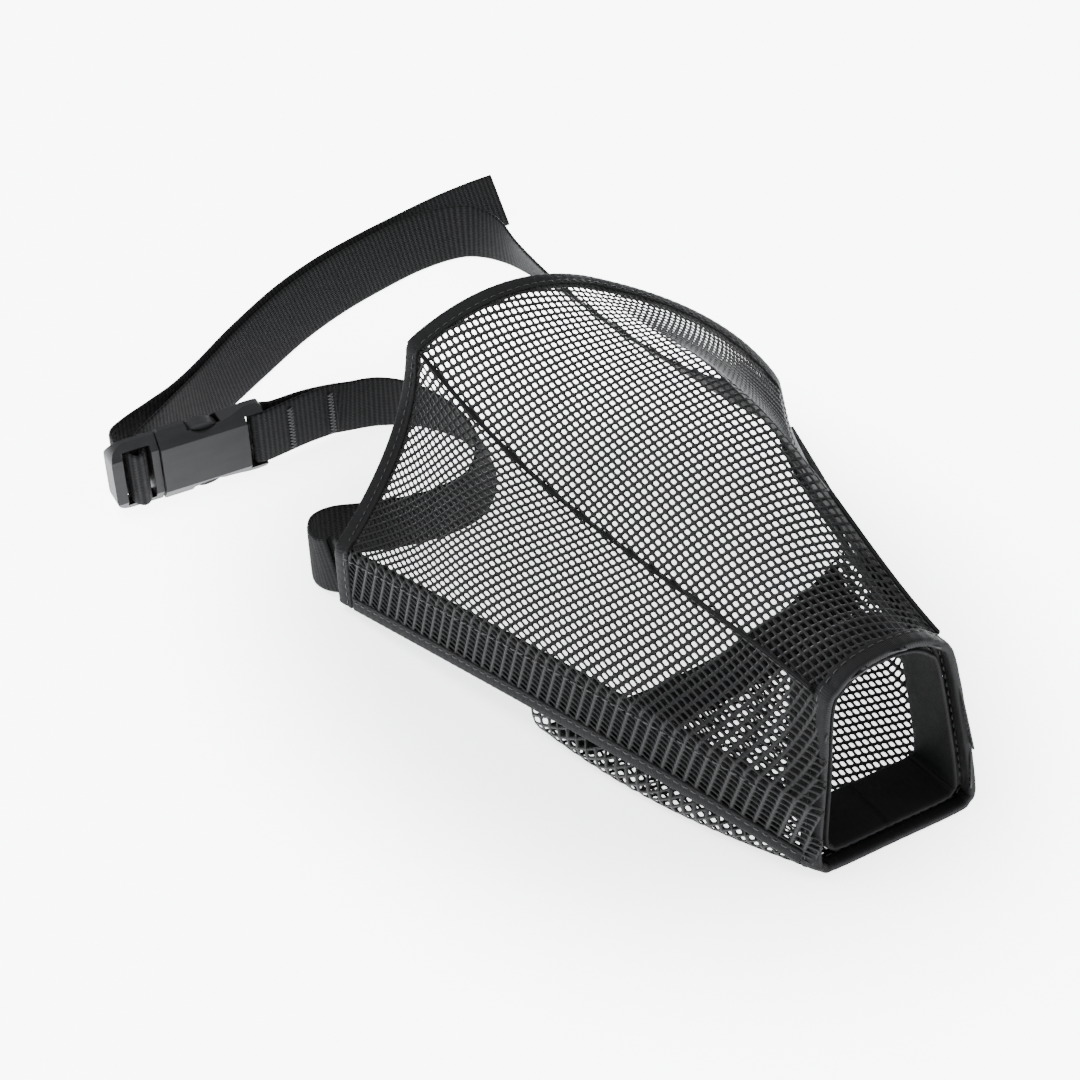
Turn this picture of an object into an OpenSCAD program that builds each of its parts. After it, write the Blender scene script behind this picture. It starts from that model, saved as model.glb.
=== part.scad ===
// Soft mesh muzzle with a webbing neck strap and a side-release buckle.
// +X points to the muzzle's right, +Y from the nose to the neck and +Z up.
// The origin is the middle of the nose binding's underside, on the surface it lies on.

/* [Muzzle] */
// Length along the lower edge, from the nose opening to the rear corner
lower_len = 177; // [170:1:184]
// Length along the ridge, from the nose opening to the rear rim
ridge_len = 213; // [207:1:219]
// Width of the nose opening at the bottom
nose_w = 50; // [48:1:52]
// Width between the ridges at the nose
nose_top_w = 41; // [40:1:42]
// Height of the ridges at the nose
nose_h = 56; // [54:1:58]
// Width between the rear lower corners
rear_w = 166; // [164:1:168]
// Width between the ridges at the rear rim
rear_top_w = 66; // [64:1:68]
// Height of the ridges at the rear rim
rear_h = 57; // [55:1:60]
// Rise of the top net between its ridges
crown = 9; // [7:1:10]

/* [Cloth] */
// Thickness of the net
net_t = 0.8; // [0.6:0.1:1]
// Width of the webbing
web_w = 20; // [20:1:20]
// Thickness of the webbing
web_t = 1.5; // [1.3:0.1:1.6]
// Width of the folded binding on the rims
binding_w = 6; // [5:0.5:6.5]
// Thickness of the folded binding, the net inside it counted
binding_t = 2.6; // [2.2:0.1:2.8]

/* [Chin] */
// Length of the chin net on the centre line
chin_len = 93; // [88:1:96]
// How much longer the chin net is at its sides
chin_scoop = 14; // [10:1:16]
// How far the chin net sags below the lower edges
chin_sag = 10; // [8:1:11]

/* [Buckle] */
// Length of the socket
socket_len = 36.4; // [36:0.2:37]
// Height of the socket across the webbing
socket_h = 27; // [26:0.5:27]
// Thickness of the socket
socket_t = 10.4; // [10:0.2:11]
// Length of the plug's frame outside the socket
plug_len = 16.2; // [16:0.2:17]
// Thickness of the plug's frame
plug_t = 8.4; // [8:0.2:9]

/* [Hidden] */
$fn = 48;
clear = 0.3;                 // gap between neighbouring layers of cloth
ridge_y0 = 6;                // the ridge starts this far behind the lower lip of the nose
edge_bow = [7, 1];           // how far the left and right lower edges bow outwards
near_dip = 11;               // the left ridge has sunk by this much
far_rise = 16.5;             // the right ridge is pushed up by this much
facing_w = 20;               // width of the tape inside the nose opening
chin_skew = 10;              // the chin net's rear edge slants by this much to each side
nose_skew = 2;               // the nose opening's right wall stands out by this much
band_gap = 1;                // the inner bands lie this far from the net
chin_bulge = 4.5;            // the chin net's left corner is pushed outwards by this much
cheek_left = [-4, -5, 28];   // the left cheek hangs here at the rear: x and y from the ridge, z
cheek_right = [73, 198, 43]; // the right cheek bulges towards here at the rear
right_lean = [10, 26];       // degrees by which the right side's foot leans in: rear, middle
foot_h = web_w + 0.8;        // the sides stand upright this high, in front of the webbing
rows = 24;                   // stations from nose to rear
cols = 10;                   // stations across a panel

// --- Vectors and curves ---
function unit(v) = v / max(norm(v), 1e-9);
function mix(a, b, t) = a + (b - a) * t;
function clampi(i, n) = max(0, min(n - 1, i));
function smoothstep(t) = t <= 0 ? 0 : t >= 1 ? 1 : t * t * (3 - 2 * t);
// a point at t between b and c on a smooth curve through a, b, c and d
function spline4(a, b, c, d, t) =
    0.5 * ((2 * b) + (c - a) * t + (2 * a - 5 * b + 4 * c - d) * t * t
    + (3 * b - a - 3 * c + d) * t * t * t);
// the smooth curve through all the points, with n steps between neighbours
function curve(p, n) = [
    for (i = [0:len(p) - 2], k = [0:n - 1])
        spline4(p[clampi(i - 1, len(p))], p[i], p[i + 1], p[clampi(i + 2, len(p))], k / n),
    p[len(p) - 1]];
function closed_curve(p, n) = [
    for (i = [0:len(p) - 1], k = [0:n - 1])
        spline4(p[(i + len(p) - 1) % len(p)], p[i], p[(i + 1) % len(p)], p[(i + 2) % len(p)],
            k / n)];
function tangent(p, i, loop = false) = loop
    ? unit(p[(i + 1) % len(p)] - p[(i + len(p) - 1) % len(p)])
    : unit(p[clampi(i + 1, len(p))] - p[clampi(i - 1, len(p))]);

// --- The body's edges, v runs from 0 at the nose to 1 at the rear ---
// s is -1 on the left and 1 on the right
function ridge(v, s) = [
    s * mix(nose_top_w, rear_top_w, v) / 2,
    ridge_y0 + ridge_len * v,
    mix(nose_h, rear_h, v)
        + (s < 0 ? -near_dip * sin(180 * pow(v, 1.6)) : far_rise * pow(sin(180 * v), 2))];
function bow(v) = sin(180 * pow(v, 0.66));
function edge(v, s) = [
    s * (mix(nose_w, rear_w, v) / 2 + edge_bow[s < 0 ? 0 : 1] * bow(v)),
    lower_len * v,
    2 + v + chin_sag * bow(v)];

// --- The panels ---
// the top net: w runs from -1 on the left ridge to 1 on the right one
function top_at(v, w) =
    mix(ridge(v, -1), ridge(v, 1), (w + 1) / 2)
    + [0, 0, (crown - crown / 2 * sin(180 * v)) * (1 - w * w)];
// the foot of a side stands up along the sewn webbing, and the right one leans in
function foot_lean(v, s) =
    s < 0 ? 0 : right_lean[0] * smoothstep(v) + right_lean[1] * sin(180 * pow(min(v, 1), 1.6));
function foot(v, s) = edge(v, s) + foot_h * [-sin(foot_lean(v, s)), 0, cos(foot_lean(v, s))];
// what pulls the rest of a side's section off the straight line from its foot to the ridge
function side_pull(v, s) = let (low = foot(v, s), mid_y = mix(low[1], ridge(v, s)[1], 0.4)) s < 0
    ? mix([low[0] + 3, mid_y, low[2] + 8],
        [ridge(v, s)[0] + cheek_left[0], ridge(v, s)[1] + cheek_left[1], cheek_left[2]],
        smoothstep((v - 0.65) / 0.35))
    : mix([low[0] - 2, mid_y, low[2] + 13], cheek_right, smoothstep((v - 0.5) / 0.5));
// a side net: w runs from 0 on the lower edge to 1 on the ridge
foot_w = 0.3;
function side_at(v, w, s) = w < foot_w
    ? mix(edge(v, s), foot(v, s), w / foot_w)
    : let (q = (w - foot_w) / (1 - foot_w))
        (1 - q) * (1 - q) * foot(v, s) + 2 * q * (1 - q) * side_pull(v, s) + q * q * ridge(v, s);
// the chin net: w runs from -1 to 1 across, t from 0 at the nose to 1 at its rear edge
corner_r = 6;                // the chin net rolls under the lower edges with this radius
function chin_rear(w) = chin_len + chin_scoop * w * w + chin_skew * w;
function chin_at(t, w) = let (
        y = 4 + (chin_rear(w) - 4) * t,
        e = edge(y / lower_len, w < 0 ? -1 : 1),
        a = 90 * (1 - min(1, (1 - abs(w)) / 0.2)),
        bulge = w < 0 ? chin_bulge * sin(180 * min(1, y / 110)) : 0,
        flat_half = abs(e[0]) - corner_r)
    abs(w) < 0.8
        ? [w / 0.8 * (flat_half + bulge), y, 0]
        : [sign(w) * (flat_half + corner_r * sin(a) + bulge * cos(a)), y, e[2] * (1 - cos(a))];

// --- Solids made from surfaces and paths ---
function normal_at(g, i, j) = unit(cross(
    g[clampi(i + 1, len(g))][j] - g[clampi(i - 1, len(g))][j],
    g[i][clampi(j + 1, len(g[0]))] - g[i][clampi(j - 1, len(g[0]))]));
function lifted(g, d) = [for (i = [0:len(g) - 1]) [for (j = [0:len(g[0]) - 1])
    g[i][j] + d * normal_at(g, i, j)]];
// a closed sheet between the surface moved by a and the same surface moved by b along its normals
module sheet(g, a, b) {
    n = len(g);
    m = len(g[0]);
    low = lifted(g, a);
    high = lifted(g, b);
    function at(i, j) = i * m + j;
    k = n * m;
    polyhedron(
        points = [for (r = low) each r, for (r = high) each r],
        faces = [
            for (i = [0:n - 2], j = [0:m - 2]) each [
                [at(i, j), at(i, j + 1), at(i + 1, j + 1)],
                [at(i, j), at(i + 1, j + 1), at(i + 1, j)],
                [k + at(i, j), k + at(i + 1, j + 1), k + at(i, j + 1)],
                [k + at(i, j), k + at(i + 1, j), k + at(i + 1, j + 1)]],
            for (i = [0:n - 2]) each [
                [at(i, 0), at(i + 1, 0), k + at(i + 1, 0)],
                [at(i, 0), k + at(i + 1, 0), k + at(i, 0)],
                [at(i, m - 1), k + at(i + 1, m - 1), at(i + 1, m - 1)],
                [at(i, m - 1), k + at(i, m - 1), k + at(i + 1, m - 1)]],
            for (j = [0:m - 2]) each [
                [at(0, j), k + at(0, j + 1), at(0, j + 1)],
                [at(0, j), k + at(0, j), k + at(0, j + 1)],
                [at(n - 1, j), at(n - 1, j + 1), k + at(n - 1, j + 1)],
                [at(n - 1, j), k + at(n - 1, j + 1), k + at(n - 1, j)]]]);
}
// a flat band of width w and thickness t; the path is one long edge, wide says which way it spreads
module band(path, wide, w, t, loop = false) {
    n = len(path);
    last = loop ? n - 1 : n - 2;
    function side(i) = unit(cross(tangent(path, i, loop), wide[i])) * t / 2;
    polyhedron(
        points = [for (i = [0:n - 1]) each [
            path[i] - side(i), path[i] + side(i),
            path[i] + side(i) + wide[i] * w, path[i] - side(i) + wide[i] * w]],
        faces = [
            for (i = [0:last], k = [0:3]) let (
                    a = 4 * i + k,
                    b = 4 * i + (k + 1) % 4,
                    c = 4 * ((i + 1) % n) + (k + 1) % 4,
                    d = 4 * ((i + 1) % n) + k)
                each [[a, b, c], [a, c, d]],
            if (!loop) each [[0, 2, 1], [0, 3, 2]],
            if (!loop) each [[4 * n - 4, 4 * n - 3, 4 * n - 2], [4 * n - 4, 4 * n - 2, 4 * n - 1]]]);
}
// webbing on its edge: each point is x, y and z of the lower edge, and its lean in degrees
function lean_dir(p, i) = let (d = tangent([for (q = p) [q[0], q[1], 0]], i))
    [-d[1] * sin(p[i][3]), d[0] * sin(p[i][3]), cos(p[i][3])];
module webbing(p) {
    band([for (q = p) [q[0], q[1], q[2]]], [for (i = [0:len(p) - 1]) lean_dir(p, i)], web_w, web_t);
}

// --- The nose opening's outline, half of it, from the bottom middle up the right side ---
lip = binding_t / 2;
nose_half = [[0, lip], [nose_w / 2 - 6, lip], [nose_w / 2 - 1.5, lip + 1.5], [nose_w / 2, lip + 6],
    [mix(nose_w, nose_top_w, 0.5) / 2, nose_h / 2], [nose_top_w / 2, nose_h - 2],
    [nose_top_w / 2 - 4, nose_h + crown * 0.45], [nose_top_w / 4, nose_h + crown * 0.85],
    [0, nose_h + crown]];
nose_ring = [
    for (p = nose_half) p + (p[0] > nose_w / 4 && p[1] < nose_h / 2 + 1 ? [nose_skew, 0] : [0, 0]),
    for (i = [len(nose_half) - 2:-1:1]) [-nose_half[i][0], nose_half[i][1]]];
// the outline moved inwards by d, in its own leaning plane
function nose_inset(d) = [for (p = closed_curve(nose_ring, 4)) let (
        x = p[0] * (1 - 2 * d / nose_w),
        z = lip + d + (p[1] - lip) * (1 - 2 * d / (nose_h + crown)))
    [x, z * ridge_y0 / nose_h, z]];

// --- The rear rim, from the left lower corner over the top to the right lower corner ---
rim = [
    for (w = [0:0.1:0.99]) side_at(1, w, -1),
    for (w = [-1:0.25:0.99]) top_at(1, w),
    for (w = [1:-0.1:-0.01]) side_at(1, w, 1)];
// the direction in which the nets run from the rim towards the nose
rim_in = [
    for (w = [0:0.1:0.99]) unit(side_at(0.95, w, -1) - side_at(1, w, -1)),
    for (w = [-1:0.25:0.99]) unit(top_at(0.95, w) - top_at(1, w)),
    for (w = [1:-0.1:-0.01]) unit(side_at(0.95, w, 1) - side_at(1, w, 1))];

// --- Webbing routes: x, y, z of the lower edge and the lean ---
// inside a lower edge, from the nose to the rear corner
inset = binding_t / 2 + web_t / 2 + clear;
function sewn_route(s) = [for (v = [0.07:0.05:1.02]) let (e = edge(min(v, 1), s))
    [e[0] - s * inset, e[1], e[2] + 0.4, foot_lean(min(v, 1), s)]];
left_route = [[-81, 179, 2.8, 0], [-84, 186, 0.8, 0], [-84.5, 193, 0, 0], [-80.5, 199.5, 0, 0],
    [-73, 200.5, 0, 0], [-62, 196, 0, 0], [-47, 191.5, 0, 0], [-33, 190.5, 0, 4],
    [-22, 194, 0, 10], [-12, 205, 0, 18], [-7, 218, 0, 20], [-9, 233, 0, 16], [-17, 247.5, 0, 8],
    [-28, 255.5, 0, 0], [-40, 258.3, 0.7, 0], [-54, 258.7, 2.9, 0]];
right_route = [[80.5, 179.5, 2.8, 12], [80, 192, 1, 30], [78, 206, 0, 38], [76, 219, 0, 42],
    [72, 243, 0, 44], [69, 266, 0, 42], [66, 288, 0, 36], [62, 306, 0, 24], [58, 320, 0, 8],
    [51, 330, 0, -8], [43, 333.5, 0, -18], [29, 333.5, 0, -24], [12, 330, 0, -26],
    [-7, 324.5, 0, -26], [-27, 316, 0, -26], [-49, 303.5, 0, -24], [-72, 289.5, 0.6, -16],
    [-86, 281.5, 2, -8], [-98, 274.5, 3.2, -2], [-106.5, 269.5, 3.5, 0], [-111, 266.2, 3.5, 0]];
tail_route = [[-118.5, 267, 3.5, 0], [-117, 272.5, 3.5, 0], [-110.5, 276.5, 3.5, 0],
    [-99, 280.8, 3.2, 2], [-86, 286, 2, 8], [-71, 294.3, 0.6, 16], [-50, 306.8, 0, 25],
    [-28, 319.5, 0, 27], [-8, 328.2, 0, 27], [12, 334, 0, 27], [30, 338, 0, 27],
    [46, 341, 0, 29], [60, 342.5, 0, 33], [72, 343, 0, 38]];

// --- The buckle: u runs along it from the fixed strap, v across the webbing, w through it to +Y ---
buckle_pos = [-70.7, 257.2, socket_h / 2];
buckle_turn = 176.2;
face_v = 8.4;                // half the height of the flat faces, which slope away above and below
rim_w = 0.9;                 // half the thickness left at the top and bottom edges
bar_u = 2.6;                 // width of the socket's webbing bar
bar_w = 1.6;                 // half its thickness
slot_v = web_w / 2 + 0.4;    // half the height of a webbing slot
cavity_u = 8;                // where the socket's cavity starts
cavity_v = 10.2;             // half its height
cavity_w = 2.7;              // half its thickness
window_u = [14.5, 26];       // the prong windows
frame_u = socket_len + 0.4;  // where the plug's frame starts
ladder = [2.6, 6, 8.6, 12.4]; // the frame's two slots, from its start
prong_tip = 14.8;            // how far into the socket the plug reaches
tack_x = [-47, -62];         // where bar tacks hold the strap's sewn end
tack_y = 254.5;
function placed(u, w) = let (c = cos(buckle_turn), s = sin(buckle_turn))
    [buckle_pos[0] + u * c + w * s, buckle_pos[1] + u * s - w * c, buckle_pos[2] - web_w / 2, 0];
// round the socket's bar and back along itself to the sewn end
anchor_w = bar_w + clear + web_t / 2;
anchor_route = [placed(-5, 1.6), placed(-1.5, anchor_w), placed(1.3, anchor_w + 0.2),
    placed(3.4, anchor_w - 0.4), placed(bar_u + clear + web_t / 2 + 0.2, 0),
    placed(3.4, -anchor_w + 0.4), placed(1.3, -anchor_w - 0.2), placed(-1.5, -anchor_w),
    placed(-6, -1.9), placed(-16, -0.2), placed(-27, 0.5)];
// through the plug's inner slot, over its middle bar and out of the outer slot
mid_u = frame_u + (ladder[1] + ladder[2]) / 2;
wrap_route = [placed(mid_u - 3, 4), placed(mid_u - 3, 0), placed(mid_u - 2.2, -4),
    placed(mid_u, -6), placed(mid_u + 2.2, -4), placed(mid_u + 3, 0), placed(mid_u + 3, 4)];

// --- Cloth ---
net_dark = [0.2, 0.21, 0.22];
tape_dark = [0.15, 0.15, 0.16];
web_dark = [0.12, 0.12, 0.13];

module top_net() {
    color(net_dark)
        sheet([for (i = [0:rows]) [for (j = [0:cols]) top_at(i / rows, mix(-0.985, 0.985, j / cols))]],
            0, net_t);
}
module side_net(s) {
    color(net_dark)
        sheet([for (i = [0:rows]) [for (j = [0:cols]) side_at(i / rows, mix(0, 0.99, j / cols), s)]],
            s < 0 ? 0 : -net_t, s < 0 ? net_t : 0);
}
module chin_net() {
    color(net_dark)
        sheet([for (i = [0:12]) [for (j = [0:20]) chin_at(i / 12, mix(-1, 1, j / 20))]],
            -net_t, 0);
}
module nose_binding() {
    ring = nose_inset(0);
    color(tape_dark) band(ring, [for (p = ring) [0, 1, 0]], binding_w, binding_t, true);
}
module rear_binding() {
    color(tape_dark) band(rim, rim_in, binding_w, binding_t);
}
module lower_binding(s) {
    path = [for (v = [0.04:0.04:0.95]) edge(v, s) - [0, 0, 1]];
    color(tape_dark) band(path, [for (p = path) [0, 0, 1]], binding_w - 1, binding_t);
}
module nose_facing() {
    ring = [for (p = nose_inset(binding_t / 2 + web_t + band_gap)) p + [0, 2, 0]];
    color(web_dark) band(ring, [for (p = ring) [0, 1, 0]], facing_w, web_t, true);
}
module chin_webbing() {
    start = 1 - web_w / chin_len;
    patch = [for (i = [0:3])
        [for (j = [0:20]) chin_at(mix(start, 0.985, i / 3), mix(-0.8, 0.8, j / 20))]];
    color(web_dark) sheet(patch, -net_t - band_gap - web_t, -net_t - band_gap);
}
module ridge_darts() {
    color(tape_dark)
        for (s = [-1, 1]) {
            path = [for (v = [0.04:0.04:0.3]) ridge(v, s) + [0, 0, 1]];
            band(path, [for (p = path) [0, 0, 1]], 1.4, 1.2);
        }
}
module strap_sewn(s) {
    color(web_dark) webbing(sewn_route(s));
}
module left_strap_free() {
    color(web_dark) webbing(concat(curve(left_route, 4), curve(anchor_route, 3)));
}
module right_strap_free() {
    color(web_dark) webbing(curve(right_route, 4));
}
module right_strap_tail() {
    color(web_dark) webbing(concat(curve(wrap_route, 3), curve(tail_route, 4)));
}
module bar_tacks() {
    color(tape_dark)
        for (x = tack_x)
            translate([x, tack_y, 6]) cube([1.8, 0.8, 14]);
}

// --- Buckle ---
module at_buckle() {
    translate(buckle_pos) rotate([0, 0, buckle_turn]) rotate([90, 0, 0]) children();
}
// a bar along u with flat faces, sloping away to thin top and bottom edges
module bar_stock(u0, u1, half_v, half_w) {
    corner = [[-half_w, -face_v], [-rim_w, -half_v], [rim_w, -half_v], [half_w, -face_v]];
    translate([u0, 0, 0]) rotate([90, 0, 90]) linear_extrude(u1 - u0)
        polygon([
            for (c = corner) [c[1], c[0]],
            for (c = corner) [-c[1], -c[0]]]);
}
// half the socket's outline: a shouldered mouth, a waist at the windows and a flared strap end
socket_half = [[0, 12.2], [1, 13], [6, 13], [10, 12], [15, 11.2], [21, 11.4], [24, 12.8],
    [27, socket_h / 2], [socket_len - 1, socket_h / 2], [socket_len, socket_h / 2 - 1]];
module buckle_socket() {
    mirrored = [for (i = [len(socket_half) - 1:-1:0]) [socket_half[i][0], -socket_half[i][1]]];
    color([0.24, 0.25, 0.26]) at_buckle() difference() {
        intersection() {
            translate([0, 0, -socket_t]) linear_extrude(2 * socket_t)
                polygon(concat(socket_half, mirrored));
            bar_stock(-1, socket_len + 1, socket_h / 2, socket_t / 2);
        }
        translate([cavity_u, -cavity_v, -cavity_w]) cube([socket_len, 2 * cavity_v, 2 * cavity_w]);
        translate([window_u[0], -socket_h, -cavity_w])
            cube([window_u[1] - window_u[0], 2 * socket_h, 2 * cavity_w]);
        translate([bar_u, -slot_v, -socket_t]) cube([3.8, 2 * slot_v, 2 * socket_t]);
        for (side = [0, 1]) mirror([0, 0, side])
            translate([-1, -slot_v, bar_w]) cube([bar_u + 2, 2 * slot_v, socket_t]);
    }
}
module buckle_plug() {
    bar_half = 1.4;
    color([0.22, 0.23, 0.24]) at_buckle() {
        difference() {
            bar_stock(frame_u, frame_u + plug_len, socket_h / 2 - 0.5, plug_t / 2);
            for (i = [0, 2])
                translate([frame_u + ladder[i], -slot_v, -plug_t])
                    cube([ladder[i + 1] - ladder[i], 2 * slot_v, 2 * plug_t]);
            for (side = [0, 1]) mirror([0, 0, side])
                translate([frame_u + ladder[1] - 0.1, -slot_v, bar_half])
                    cube([ladder[2] - ladder[1] + 0.2, 2 * slot_v, plug_t]);
        }
        translate([prong_tip, -2.4, -2.1]) cube([frame_u - prong_tip + 0.1, 4.8, 4.2]);
    }
}
// one flexing arm, with the pad that shows in the window and the shoulder behind it
module prong(side) {
    color([0.26, 0.27, 0.28]) at_buckle() scale([1, side, 1])
        translate([0, 0, -2.3]) linear_extrude(4.6)
            polygon([[socket_len, 6.6], [socket_len, 8.8], [27, 9.4], [25.4, 9.4], [25.2, 11.6],
                [22, 12.2], [18, 11.6], [prong_tip, 9], [prong_tip, 7.4], [17, 7], [26, 7]]);
}

top_net();
side_net(-1);  // left_side_net
side_net(1);  // right_side_net
chin_net();
nose_binding();
rear_binding();
lower_binding(-1);  // left_lower_binding
lower_binding(1);  // right_lower_binding
nose_facing();
chin_webbing();
ridge_darts();
strap_sewn(-1);  // left_strap_sewn
left_strap_free();
strap_sewn(1);  // right_strap_sewn
right_strap_free();
right_strap_tail();
bar_tacks();
buckle_socket();
buckle_plug();
prong(1);  // upper_prong
prong(-1);  // lower_prong
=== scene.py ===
"""Looks of a soft mesh muzzle with a webbing neck strap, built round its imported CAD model.

Shapes are worked out in millimetres, with the driving dimensions of the CAD part, and
turned into metres when a mesh is made. +X is the muzzle's right, +Y runs from the nose to
the neck, +Z is up.
"""

import math

import bmesh
import bpy
import numpy as np
from mathutils import Matrix, Vector


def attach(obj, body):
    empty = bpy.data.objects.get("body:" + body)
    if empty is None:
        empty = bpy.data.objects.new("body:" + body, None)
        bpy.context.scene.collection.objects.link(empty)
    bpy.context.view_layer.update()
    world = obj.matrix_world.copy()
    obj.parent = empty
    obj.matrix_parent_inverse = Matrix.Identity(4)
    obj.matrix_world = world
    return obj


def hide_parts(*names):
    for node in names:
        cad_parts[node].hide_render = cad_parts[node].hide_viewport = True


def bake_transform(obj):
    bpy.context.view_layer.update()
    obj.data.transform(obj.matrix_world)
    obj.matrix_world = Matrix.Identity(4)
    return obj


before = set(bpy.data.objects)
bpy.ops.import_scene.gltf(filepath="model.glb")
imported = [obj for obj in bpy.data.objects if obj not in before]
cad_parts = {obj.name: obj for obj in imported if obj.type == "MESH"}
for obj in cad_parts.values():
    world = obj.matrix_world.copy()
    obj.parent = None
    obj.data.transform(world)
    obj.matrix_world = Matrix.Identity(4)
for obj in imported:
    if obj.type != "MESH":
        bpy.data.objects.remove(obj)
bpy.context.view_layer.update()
MM = 0.001

# --- Driving dimensions, as in the CAD part ---
LOWER_LEN, RIDGE_LEN = 177, 213
NOSE_W, NOSE_TOP_W, NOSE_H = 50, 41, 56
REAR_W, REAR_TOP_W, REAR_H = 166, 66, 57
CROWN, RIDGE_Y0, NEAR_DIP, FAR_RISE = 9, 6, 11, 16.5
LEFT_BOW, RIGHT_BOW = 7, 1
NET_T, WEB_W, WEB_T, BINDING_W, BINDING_T, CLEAR = 0.8, 20, 1.5, 6, 2.6, 0.3
CHIN_LEN, CHIN_SCOOP, CHIN_SKEW, CHIN_SAG, CORNER_R = 93, 14, 10, 10, 6
CHIN_BULGE, BULGE_LEN, CHIN_FLAT = 4.5, 110, 0.8
NOSE_SKEW = 2
CHEEK_LEFT, CHEEK_RIGHT = (-4, -5, 28), (73, 198, 43)
LEAN_REAR, LEAN_MIDDLE, BAND_GAP = 10, 26, 1
FOOT_H, FOOT_W, FACING_W = WEB_W + 0.8, 0.3, 20
SOCKET_LEN, SOCKET_H, SOCKET_T, PLUG_LEN, PLUG_T = 36.4, 27, 10.4, 16.2, 8.4
BUCKLE_POS, BUCKLE_TURN = (-70.7, 257.2, SOCKET_H / 2), math.radians(176.2)
LEFT, RIGHT = -1, 1

# --- The net: lengthwise and cross threads ---
PITCH_LONG, PITCH_CROSS = 2.1, 3.4
SKEW_LONG, SKEW_CROSS = 0.09, 0.25
HOLE_LONG, HOLE_CROSS = 1.2, 2.05
THREAD_RISE = 0.3

# --- Webbing ribs and stitches ---
RIB_PITCH = 1.8
STITCH_PITCH = 3.0
STITCH_AT = 0.74            # where the stitches run, as a share of a binding's width

# --- Samples over one section of the upper net ---
SIDE_STEPS, TOP_STEPS = 40, 24


# ---------------------------------------------------------------- vectors and curves
def vec(*a):
    return np.array(a, float)


def mix(a, b, t):
    return a + (b - a) * t


def smoothstep(t):
    t = min(1.0, max(0.0, t))
    return t * t * (3 - 2 * t)


def unit(v):
    """Each vector along the last axis, made 1 long."""
    return v / np.maximum(np.linalg.norm(v, axis=-1, keepdims=True), 1e-9)


def spline(points, per_span, closed=False):
    """The smooth curve through all the points, per_span samples to each span."""
    p = np.asarray(points, float)
    n = len(p)
    spans = range(n if closed else n - 1)
    take = (lambda i: p[i % n]) if closed else (lambda i: p[min(max(i, 0), n - 1)])
    t = (np.arange(per_span) / per_span)[:, None]
    out = []
    for i in spans:
        a, b, c, d = take(i - 1), take(i), take(i + 1), take(i + 2)
        out.append(0.5 * (2 * b + (c - a) * t + (2 * a - 5 * b + 4 * c - d) * t ** 2
                          + (3 * b - a - 3 * c + d) * t ** 3))
    return np.vstack(out + ([] if closed else [p[-1:]]))


def resample(rows, along, step):
    """Rows of numbers, evenly spaced at about step along the line of points `along`."""
    s = np.concatenate([[0], np.cumsum(np.linalg.norm(np.diff(along, axis=0), axis=1))])
    at = np.linspace(0, s[-1], max(2, round(s[-1] / step) + 1))
    return at, np.stack([np.interp(at, s, column) for column in rows.T], axis=1)


def tangents(p, closed=False):
    if closed:
        return unit(np.roll(p, -1, 0) - np.roll(p, 1, 0))
    return unit(np.gradient(p, axis=0))


# ---------------------------------------------------------------- the muzzle's surfaces
def ridge(v, s):
    if s < 0:
        sunk = -NEAR_DIP * math.sin(math.pi * v ** 1.6)
    else:
        sunk = FAR_RISE * math.sin(math.pi * v) ** 2
    return vec(s * mix(NOSE_TOP_W, REAR_TOP_W, v) / 2, RIDGE_Y0 + RIDGE_LEN * v,
               mix(NOSE_H, REAR_H, v) + sunk)


def bow(v):
    """How far the lower edges have bowed at v, from 0 to 1."""
    return math.sin(math.pi * v ** 0.66)


def edge(v, s):
    """The lower edge of side s, which runs from the nose (v = 0) to the rear (v = 1)."""
    out = (LEFT_BOW if s < 0 else RIGHT_BOW) * bow(v)
    return vec(s * (mix(NOSE_W, REAR_W, v) / 2 + out), LOWER_LEN * v, 2 + v + CHIN_SAG * bow(v))


def top_at(v, w):
    rise = (CROWN - CROWN / 2 * math.sin(math.pi * v)) * (1 - w * w)
    return mix(ridge(v, LEFT), ridge(v, RIGHT), (w + 1) / 2) + vec(0, 0, rise)


def foot_lean(v, s):
    """Degrees by which a side's foot leans in."""
    if s < 0:
        return 0
    return LEAN_REAR * smoothstep(v) + LEAN_MIDDLE * math.sin(math.pi * min(v, 1) ** 1.6)


def foot(v, s):
    a = math.radians(foot_lean(v, s))
    return edge(v, s) + FOOT_H * vec(-math.sin(a), 0, math.cos(a))


def side_pull(v, s):
    low, high = foot(v, s), ridge(v, s)
    mid_y = mix(low[1], high[1], 0.4)
    if s < 0:
        cheek = vec(high[0] + CHEEK_LEFT[0], high[1] + CHEEK_LEFT[1], CHEEK_LEFT[2])
        return mix(vec(low[0] + 3, mid_y, low[2] + 8), cheek, smoothstep((v - 0.65) / 0.35))
    return mix(vec(low[0] - 2, mid_y, low[2] + 13), vec(*CHEEK_RIGHT), smoothstep((v - 0.5) / 0.5))


def side_at(v, w, s):
    """A side net: w runs from 0 on the lower edge to 1 on the ridge."""
    if w < FOOT_W:
        return mix(edge(v, s), foot(v, s), w / FOOT_W)
    q = (w - FOOT_W) / (1 - FOOT_W)
    return (1 - q) ** 2 * foot(v, s) + 2 * q * (1 - q) * side_pull(v, s) + q * q * ridge(v, s)


def across(v):
    """The whole section at v, from the left lower edge over the top to the right one."""
    rise = np.linspace(0, 1, SIDE_STEPS + 1)[:-1]
    return np.array([side_at(v, w, LEFT) for w in rise]
                    + [top_at(v, w) for w in np.linspace(-1, 1, TOP_STEPS + 1)[:-1]]
                    + [side_at(v, w, RIGHT) for w in np.append(rise, 1)[::-1]])


def chin_rear(w):
    return CHIN_LEN + CHIN_SCOOP * w * w + CHIN_SKEW * w


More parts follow.
